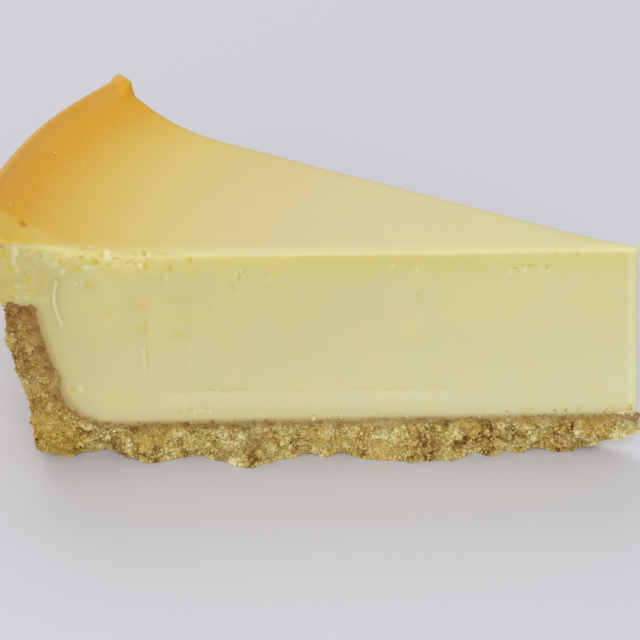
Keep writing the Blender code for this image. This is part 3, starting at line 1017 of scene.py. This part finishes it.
def baked_custard():
    """Baked lime custard: satin and faintly translucent, pale where cut, browned where it met the oven."""
    finish, tree, shader = new_finish("baked_lime_custard")
    place = node(tree, "TexCoord", {}, [], "Object")
    torn, seam, edge, pulled, yellow, light = [
        node(tree, "Attribute", {"attribute_name": name}, [], "Fac")
        for name in ("torn", "seam", "edge", "dragged", "yellow", "light")
    ]
    # The size of the largest waves in metres, the detail and the roughness of the browning's drift, the
    # warmer patches, the curd, the specks along the skin's edge and the fine grain, which is drawn coarser
    # than the real one so that it shows.
    noises = ((0.018, 4, 0.55), (0.009, 6, 0.6), (0.0026, 3, 0.5), (0.0013, 3, 0.5), (0.0007, 3, 0.5))
    drift, patch, curd, speckle, fine = [
        node(
            tree, "TexNoise", {},
            {"Vector": place, "Scale": 1 / size, "Detail": detail, "Roughness": roughness}, "Fac",
        )
        for size, detail, roughness in noises
    ]

    # Where a place lies: how far out, as a share of the pie's radius, and how deep under the dished top.
    z = node(tree, "SeparateXYZ", {}, [place], "Z")
    from_axis = node(tree, "VectorMath", MINUS, [place, tuple(AXIS)])
    flat = node(tree, "VectorMath", TIMES, [from_axis, (1, 1, 0)])
    r = node(tree, "VectorMath", {"operation": "LENGTH"}, [flat], "Value")
    share = node(tree, "Math", OVER, [r, PIE_RADIUS])
    past_level = node(tree, "Math", MINUS, [share, DISH_START])
    dish = node(tree, "Math", {"operation": "DIVIDE", "use_clamp": True}, [past_level, 1 - DISH_START])
    dish = node(tree, "Math", {"operation": "POWER"}, [dish, DISH_POWER])
    rise = node(tree, "Math", TIMES, [dish, DISH_RISE])
    top_z = node(tree, "Math", PLUS, [rise, FILLING_HEIGHT])
    below = node(tree, "Math", MINUS, [top_z, z])
    below_mm = node(tree, "Math", OVER, [below, MM])
    up = node(tree, "Math", OVER, [z, 0.043])

    # The cut custard, paler at the foot than near the top, and yellower and darker towards the rim, where
    # the darkening is painted shade.
    inner_colours = [(0.20, "#d0cfa4"), (0.36, "#cfcda1"), (0.55, "#ccc898"), (0.90, "#cdc58d")]
    shaded_outer_colours = [(0.20, "#ccc393"), (0.36, "#cac18e"), (0.55, "#c7bd87"), (0.90, "#c3b87c")]
    inner = node(tree, "ValToRGB", {"stops": inner_colours}, [up])
    outer = node(tree, "ValToRGB", {"stops": shaded_outer_colours}, [up])
    shade_towards_rim = node(tree, "MapRange", FADE, [share, 0.15, 0.90, 0.0, 1.0])
    body = node(tree, "Mix", BLEND, {0: shade_towards_rim, 6: inner, 7: outer}, 2)

    curd_swing = node(tree, "Math", MINUS, [curd, 0.5])
    curd_swing = node(tree, "Math", TIMES, [curd_swing, 2.6])
    loosened = node(tree, "Math", PLUS, [below_mm, curd_swing])
    under_top = node(tree, "MapRange", FADE, [loosened, 2.0, 6.0, 0.85, 0.0])
    off_tip = node(tree, "MapRange", FADE, [share, 0.08, 0.55, 0.55, 1.0])
    curd_colours = [(0.34, "#c4b056"), (0.46, "#ccbc70"), (0.56, "#d0c280"), (0.70, "#d9cf9a")]
    flecked = node(tree, "ValToRGB", {"stops": curd_colours}, [curd])
    freshly = node(tree, "MapRange", FADE, [below_mm, 0.6, 3.4, 0.75, 0.0])
    inside_rim = node(tree, "MapRange", FADE, [share, 0.94, 0.97, 1.0, 0.0])
    fresh = node(tree, "Math", TIMES, [freshly, inside_rim])
    layers = [  # each laid over the ones before it: its share and its colour
        (node(tree, "MapRange", FADE, [patch, 0.42, 0.66, 0.0, 0.40]), "#d5c888"),
        (node(tree, "MapRange", FADE, [patch, 0.30, 0.52, 0.25, 0.0]), "#cbc992"),
        (node(tree, "Math", TIMES, [under_top, off_tip]), "#cbc171"),
        (node(tree, "MapRange", FADE, [seam, -0.2, 3.2, 0.42, 0.0]), "#bdb070"),  # damp by the crust
        (node(tree, "MapRange", FADE, [seam, -0.4, 0.8, 0.80, 0.0]), "#a98a50"),  # soaked into it
        (node(tree, "Math", TIMES_UP_TO_ONE, [torn, 0.8]), flecked),
        (node(tree, "MapRange", FADE, [share, 0.78, 0.99, 0.0, 0.5]), "#ada570"),
        (node(tree, "Math", TIMES, [torn, fresh]), "#dbd08e"),
        (node(tree, "MapRange", FADE, [share, 0.955, 0.975, 0.0, 0.4]), "#c2a648"),
        (node(tree, "Math", TIMES_UP_TO_ONE, [yellow, 0.8]), "#c6b443"),
        # Paler curds and scratches, and the painted highlight at the blunt end of the tip.
        (node(tree, "Math", TIMES_UP_TO_ONE, [light, 0.52]), "#e4dfbe"),
    ]
    for amount, colour in layers:
        body = node(tree, "Mix", BLEND, {0: amount, 6: body, 7: colour}, 2)

    # The browned top, with a painted highlight along its bent edge and smudges where the knife dragged it
    # down.
    drift = node(tree, "Math", MINUS, [drift, 0.5])
    drift = node(tree, "Math", TIMES, [drift, 0.07])
    browned_at = node(tree, "Math", PLUS, [share, drift])
    top = node(tree, "ValToRGB", {"stops": BROWNING}, [browned_at])
    edge_highlight_colours = [(0.70, "#d8d4a6"), (0.84, "#d6c680"), (0.95, "#ceb35a")]
    smudge_colours = [(0.36, "#c6ae38"), (0.48, "#d2b252"), (0.64, "#d8b866")]
    edge_highlight_colour = node(tree, "ValToRGB", {"stops": edge_highlight_colours}, [share])
    smudged = node(tree, "ValToRGB", {"stops": smudge_colours}, [curd])
    bent = node(tree, "MapRange", FADE, [below_mm, 0.0, 0.4, 0.0, 1.0])
    bent = node(tree, "Math", LARGER, [bent, edge])
    layers = [
        (node(tree, "Math", TIMES, [bent, 0.60]), edge_highlight_colour),
        (node(tree, "Math", TIMES, [pulled, 0.9]), smudged),
    ]
    for amount, colour in layers:
        top = node(tree, "Mix", BLEND, {0: amount, 6: top, 7: colour}, 2)

    # Where the browned skin still lies: the top, the rim's outer face and what was dragged down.
    ragged = node(tree, "Math", MINUS, [speckle, 0.5])
    ragged = node(tree, "Math", TIMES, [ragged, 0.5])
    skin_depth = node(tree, "Math", PLUS, [below_mm, ragged])
    baked = node(tree, "MapRange", FADE, [skin_depth, 0.60, 1.25, 1.0, 0.0])
    past_rim = node(tree, "Math", MINUS, [share, 1])
    rim_face = node(tree, "MapRange", FADE, [past_rim, -0.006, 0.008, 0.0, 1.0])
    over_drag = node(tree, "Math", MINUS, [z, SKIN_DRAGGED_TO])
    ragged_metres = node(tree, "Math", TIMES, [ragged, MM])
    over_drag = node(tree, "Math", PLUS, [over_drag, ragged_metres])
    over_drag = node(tree, "MapRange", FADE, [over_drag, -0.0005, 0.0004, 0.0, 1.0])
    cooked = node(tree, "Math", LARGER, [baked, rim_face])
    cooked = node(tree, "Math", LARGER, [cooked, over_drag])
    crumbly = node(tree, "Math", PLUS, [curd, 0.35])
    stripped = node(tree, "Math", TIMES, [torn, crumbly])
    left_on = node(tree, "MapRange", FADE, [stripped, 0.20, 0.70, 1.0, 0.0])
    cooked = node(tree, "Math", TIMES, [cooked, left_on])
    colour = node(tree, "Mix", BLEND, {0: cooked, 6: body, 7: top}, 2)

    # Fine pores in the brownest part, and the blister.
    brownest = node(tree, "MapRange", FADE, [browned_at, 0.86, 0.96, 0.0, 1.0])
    brownest = node(tree, "Math", TIMES, [brownest, cooked])
    pore = node(tree, "TexVoronoi", {}, {"Vector": place, "Scale": 1 / 0.0017}, "Distance")
    pore = node(tree, "MapRange", FADE, [pore, 0.08, 0.24, 1.0, 0.0])
    pore = node(tree, "Math", TIMES, [pore, brownest])
    from_blister = node(tree, "VectorMath", {"operation": "DISTANCE"}, [place, BLISTER], "Value")
    layers = [
        (node(tree, "Math", TIMES, [pore, 0.10]), "#b87c06"),
        (node(tree, "MapRange", FADE, [from_blister, 0.0005, 0.0013, 1.0, 0.0]), "#c48400"),
    ]
    for amount, layer_colour in layers:
        colour = node(tree, "Mix", BLEND, {0: amount, 6: colour, 7: layer_colour}, 2)
    tree.links.new(colour, shader.inputs["Base Color"])

    relief = node(tree, "Math", TIMES, [fine, 0.30])
    relief = node(tree, "Math", MINUS, [relief, pore])
    bump = node(tree, "Bump", {}, {"Strength": 0.30, "Distance": 0.0002, "Height": relief})
    tree.links.new(bump, shader.inputs["Normal"])
    shader.inputs["Roughness"].default_value = 0.45
    shader.inputs["IOR"].default_value = 1.45
    shader.inputs["Specular IOR Level"].default_value = 0.28
    shader.inputs["Subsurface Weight"].default_value = 0.25
    shader.inputs["Subsurface Radius"].default_value = (1.0, 0.75, 0.35)
    shader.inputs["Subsurface Scale"].default_value = 0.003
    return finish


def torn_curd():
    """Loose curds of baked custard: matt, moist and crumbly, from pale cream to the yellow of the skin."""
    finish, tree, shader = new_finish("torn_custard_curd")
    stops = [(0.0, "#d4cc9e"), (0.35, "#d0c68c"), (0.60, "#cfc07a"), (0.82, "#c8b55c"), (1.0, "#c3aa45")]
    tone = node(tree, "Attribute", {"attribute_name": "tone"}, [], "Fac")
    tree.links.new(node(tree, "ValToRGB", {"stops": stops}, [tone]), shader.inputs["Base Color"])
    shader.inputs["Roughness"].default_value = 0.5
    shader.inputs["IOR"].default_value = 1.45
    shader.inputs["Specular IOR Level"].default_value = 0.35
    return finish


def biscuit_crumb(name, loose):
    """Baked biscuit crumbs bound with butter: dry and matt, each its own brown, moist by the custard."""
    finish, tree, shader = new_finish(name)
    place = node(tree, "TexCoord", {}, [], "Object")
    x = node(tree, "SeparateXYZ", {}, [place], "X")
    z = node(tree, "SeparateXYZ", {}, [place], "Z")
    seam = node(tree, "Attribute", {"attribute_name": "seam"}, [], "Fac")
    # The size of the largest waves in metres, the detail and the roughness of the clumps, the golden and
    # brown patches, the moist strip's waver and the grain of a crumb, drawn coarser than the real one.
    noises = ((0.0032, 4, 0.6), (0.0065, 3, 0.5), (0.0030, 3, 0.5), (0.00045, 4, 0.7))
    clumps, patches, wander, fine = [
        node(
            tree, "TexNoise", {},
            {"Vector": place, "Scale": 1 / size, "Detail": detail, "Roughness": roughness}, "Fac",
        )
        for size, detail, roughness in noises
    ]

    # Each crumb's tone, lighter or darker by clumps, and paler in the slice's middle and at its tip; on
    # loose crumbs the tone also holds painted shade between the lumps.
    if loose:
        tone = node(tree, "Attribute", {"attribute_name": "tone"}, [], "Fac")
    else:
        cells = node(tree, "TexVoronoi", {}, {"Vector": place, "Scale": 1 / 0.0009}, "Color")
        cell = node(tree, "SeparateXYZ", {}, [cells])
        cell = node(tree, "Math", TIMES, [cell, 0.45])
        tone = node(tree, "Math", PLUS, [cell, 0.12])
    clumps = node(tree, "Math", MINUS, [clumps, 0.5])
    clumps = node(tree, "Math", TIMES, [clumps, 2.0])
    middle_start = node(tree, "MapRange", FADE, [x, -0.022, -0.014, 0.0, 1.0])
    middle_end = node(tree, "MapRange", FADE, [x, 0.018, 0.026, 0.12, 0.0])
    at_tip = node(tree, "MapRange", FADE, [x, 0.052, 0.058, 0.0, 0.32])
    paler = node(tree, "Math", TIMES, [middle_start, middle_end])
    paler = node(tree, "Math", PLUS, [paler, at_tip])
    uneven = node(tree, "Math", PLUS, [clumps, paler])
    tone = node(tree, "Math", TIMES, [tone, 0.85])
    tone = node(tree, "Math", PLUS, [tone, uneven])
    tone = node(tree, "Math", {"operation": "ADD", "use_clamp": True}, [tone, 0.10])
    stops = [(0.0, "#66440f"), (0.18, "#98722c"), (0.42, "#c1a85a"), (0.70, "#d5c480"), (1.0, "#e3daa8")]
    colour = node(tree, "ValToRGB", {"stops": stops}, [tone])

    at_wall = node(tree, "MapRange", FADE, [x, -0.046, -0.038, 1.0, 0.0])
    above_base = node(tree, "MapRange", FADE, [z, 0.008, 0.013, 0.0, 1.0])
    wall = node(tree, "Math", TIMES, [at_wall, above_base])
    from_corner = node(tree, "VectorMath", {"operation": "DISTANCE"}, [place, LOW_CORNER], "Value")
    low_corner = node(tree, "MapRange", FADE, [from_corner, 0.007, 0.013, 0.6, 0.0])
    golden = node(tree, "MapRange", FADE, [patches, 0.54, 0.64, 0.0, 0.5])
    wander = node(tree, "Math", MINUS, [wander, 0.5])
    wander = node(tree, "Math", TIMES, [wander, 2.4])
    ragged_seam = node(tree, "Math", PLUS, [seam, wander])
    ragged_seam = node(tree, "Math", MINUS, [ragged_seam, wall])
    moist = node(tree, "MapRange", FADE, [ragged_seam, 0.4, 2.4, 0.70, 0.0])
    layers = [  # each laid over the ones before it: its share and its colour
        (node(tree, "Math", LARGER, [golden, low_corner]), "#c09d35"),
        (node(tree, "MapRange", FADE, [patches, 0.34, 0.45, 0.4, 0.0]), "#94763f"),
        (node(tree, "Math", TIMES, [wall, 0.5]), "#b08c4a"),
        (node(tree, "MapRange", FADE, [z, 0.0262, 0.0318, 0.0, 0.7]), "#935d22"),  # browned by the oven
        (moist, "#926c33"),
    ]
    if not loose:
        gap = node(tree, "Attribute", {"attribute_name": "gap"}, [], "Fac")
        # Painted shade: the gaps between the crust's lumps are painted dark brown.
        layers.insert(0, (node(tree, "Math", TIMES, [gap, 0.48]), "#634010"))  # the gaps between lumps
    for amount, layer_colour in layers:
        colour = node(tree, "Mix", BLEND, {0: amount, 6: colour, 7: layer_colour}, 2)
    tree.links.new(colour, shader.inputs["Base Color"])

    bump = node(tree, "Bump", {}, {"Strength": 0.6, "Distance": 0.0003, "Height": fine})
    tree.links.new(bump, shader.inputs["Normal"])
    roughness = node(tree, "MapRange", FADE, [moist, 0.0, 0.7, 0.85, 0.6])
    tree.links.new(roughness, shader.inputs["Roughness"])
    shader.inputs["IOR"].default_value = 1.45
    shader.inputs["Specular IOR Level"].default_value = 0.35
    return finish


def painted_board():
    """Matt white painted board: an even pale surface that takes a soft shadow."""
    finish, _, shader = new_finish("matt_white_board")
    shader.inputs["Base Color"].default_value = paint("#dbdadf")
    shader.inputs["Roughness"].default_value = 0.75
    return finish


def finish_piece(obj, finish, smooth=True):
    obj.data.materials.clear()
    obj.data.materials.append(finish)
    if smooth:
        make_active(obj)
        bpy.ops.object.shade_smooth()


# ---------------------------------------------------------------- studio

def make_floor():
    deselect_everything()
    bpy.ops.mesh.primitive_plane_add(size=6, location=(0, 0, 0))
    floor = bpy.context.object
    floor.name = "floor"
    floor.data.materials.append(painted_board())


def add_soft_light(name, place, target, size, power, colour):
    deselect_everything()
    bpy.ops.object.light_add(type="AREA", location=place)
    light = bpy.context.object
    light.name = name
    light.data.size = size
    light.data.energy = power
    light.data.color = paint(colour)[:3]
    light.rotation_euler = (Vector(target) - Vector(place)).to_track_quat("-Z", "Y").to_euler()


def make_studio():
    make_floor()
    world = bpy.data.worlds.new("pale_room")
    world.use_nodes = True
    back = world.node_tree.nodes["Background"]
    back.inputs["Color"].default_value = paint("#eeeef4")
    back.inputs["Strength"].default_value = 0.55
    bpy.context.scene.world = world
    add_soft_light("window", (-0.5, 0.9, 1.1), (0, 0, 0.03), 1.2, 7, "#ffffff")
    add_soft_light("front", (0.25, -1.1, 0.62), (0, 0, 0.03), 1.0, 11, "#ffffff")
    bpy.context.scene.view_settings.view_transform = "Standard"


def make_camera():
    deselect_everything()
    bpy.ops.object.camera_add(
        location=(0.07357, -0.30625, 0.18354), rotation=[math.radians(a) for a in (62.502, -0.938, 14.160)]
    )
    camera = bpy.context.object
    camera.name = "camera"
    camera.data.lens = 104.516
    camera.data.sensor_width = 36
    camera.data.clip_start = 0.01
    bpy.context.scene.camera = camera


make_studio()
make_camera()

custard = make_custard()
crust = make_crust()
dressed = [
    (custard, baked_custard(), "filling"),
    (make_curds(custard, 7), torn_curd(), "filling"),
    (crust, biscuit_crumb("baked_biscuit_crumb", loose=False), "crust"),
]
loose_crumb = biscuit_crumb("loose_biscuit_crumb", loose=True)
dressed += [
    (make_crumbs(crust, "front_crumbs", -1, 21, custard), loose_crumb, "crust"),
    (make_crumbs(crust, "back_crumbs", 1, 22), loose_crumb, "crust"),
    (make_wall_crumbs(crust, 23), loose_crumb, "crust"),
]
for piece, finish, node_name in dressed:
    finish_piece(piece, finish, smooth=piece in (custard, crust))
    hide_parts(node_name)
    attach(piece, "root")
